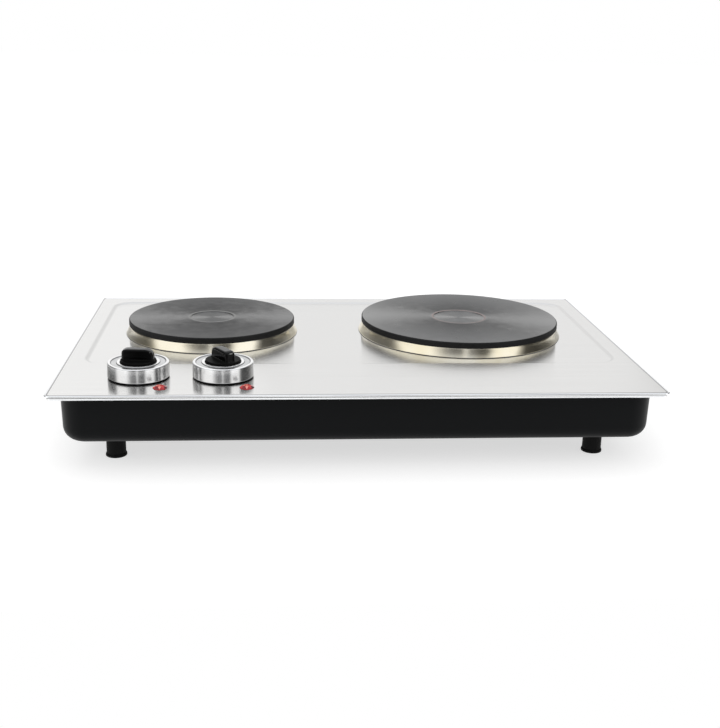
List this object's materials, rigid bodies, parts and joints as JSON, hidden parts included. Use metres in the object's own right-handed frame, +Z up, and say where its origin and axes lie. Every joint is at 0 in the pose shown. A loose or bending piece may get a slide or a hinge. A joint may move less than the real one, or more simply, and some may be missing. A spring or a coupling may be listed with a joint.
{
  "type": "hot plate burner",
  "caption": "Table-top electric hot plate: stainless deck with round cast-iron plates in trim rings, turning knobs and red lamps at the front, black pan on rubber feet.",
  "frame": {"origin": "on the table, under the middle of the deck", "axes": "+X to the right along the deck, +Y to the rear, +Z up; the controls face -Y"},
  "size_m": [0.498, 0.324, 0.0908],
  "materials": {
    "deck_steel": "brushed stainless",
    "pan_paint": "satin black paint",
    "zinc_steel": "zinc plated",
    "black_nylon": "moulded nylon",
    "ivory_plastic": "moulded",
    "brass": "plain",
    "brown_sleeve": "sleeved wire",
    "red_sleeve": "sleeved wire",
    "blue_sleeve": "sleeved wire",
    "green_sleeve": "sleeved wire",
    "foot_rubber": "moulded rubber",
    "cast_plate": "turned, coated",
    "trim_steel": "straw-tinted stainless",
    "coil_wire": "resistance wire",
    "insulation": "mineral board",
    "ceramic": "steatite",
    "knob_plastic": "gloss black",
    "skirt_aluminium": "polished",
    "red_lens": "faceted red",
    "bulb_glass": "clear"
  },
  "bodies": {
    "base": {"bottom_pan": "pan_paint", "cord_bush": "black_nylon", "earth_terminal": "brass", "earth_wire": "green_sleeve", "foot_front_left": "foot_rubber", "foot_front_right": "foot_rubber", "foot_nuts": "zinc_steel", "foot_rear_left": "foot_rubber", "foot_rear_right": "foot_rubber", "foot_screws": "zinc_steel", "left_clamp_bridge": "zinc_steel", "left_clamp_nut": "zinc_steel", "left_cover_plate": "zinc_steel", "left_heating_coils": "coil_wire", "left_insulation_disc": "insulation", "left_pilot_bulb": "bulb_glass", "left_pilot_lens": "red_lens", "left_pilot_retainer": "zinc_steel", "left_plate_casting": "cast_plate", "left_plate_pins": "brass", "left_plate_stud": "zinc_steel", "left_plate_terminals": "ceramic", "left_thermostat_blades": "brass", "left_thermostat_frame": "zinc_steel", "left_thermostat_screws": "zinc_steel", "left_thermostat_stack": "ceramic", "left_trim_ring": "trim_steel", "live_wires": "brown_sleeve", "neutral_wires": "blue_sleeve", "pan_posts": "zinc_steel", "pan_screws": "zinc_steel", "right_clamp_bridge": "zinc_steel", "right_clamp_nut": "zinc_steel", "right_cover_plate": "zinc_steel", "right_heating_coils": "coil_wire", "right_insulation_disc": "insulation", "right_pilot_bulb": "bulb_glass", "right_pilot_lens": "red_lens", "right_pilot_retainer": "zinc_steel", "right_plate_casting": "cast_plate", "right_plate_pins": "brass", "right_plate_stud": "zinc_steel", "right_plate_terminals": "ceramic", "right_thermostat_blades": "brass", "right_thermostat_frame": "zinc_steel", "right_thermostat_screws": "zinc_steel", "right_thermostat_stack": "ceramic", "right_trim_ring": "trim_steel", "switched_wires": "red_sleeve", "terminal_screws": "brass", "terminal_strip": "ivory_plastic", "top_plate": "deck_steel"},
    "left_knob": {"left_knob_grip": "knob_plastic", "left_knob_skirt": "skirt_aluminium", "left_spindle": "zinc_steel"},
    "right_knob": {"right_knob_grip": "knob_plastic", "right_knob_skirt": "skirt_aluminium", "right_spindle": "zinc_steel"}
  },
  "joints": [
    {"name": "left_knob_turn", "type": "hinge", "parent": "base", "child": "left_knob", "pos_m": [-0.1812, -0.1115, 0.067], "axis": [0, 0, 1], "range_deg": [-154, 126]},
    {"name": "right_knob_turn", "type": "hinge", "parent": "base", "child": "right_knob", "pos_m": [-0.1126, -0.1115, 0.067], "axis": [0, 0, 1], "range_deg": [-280, 0]}
  ]
}
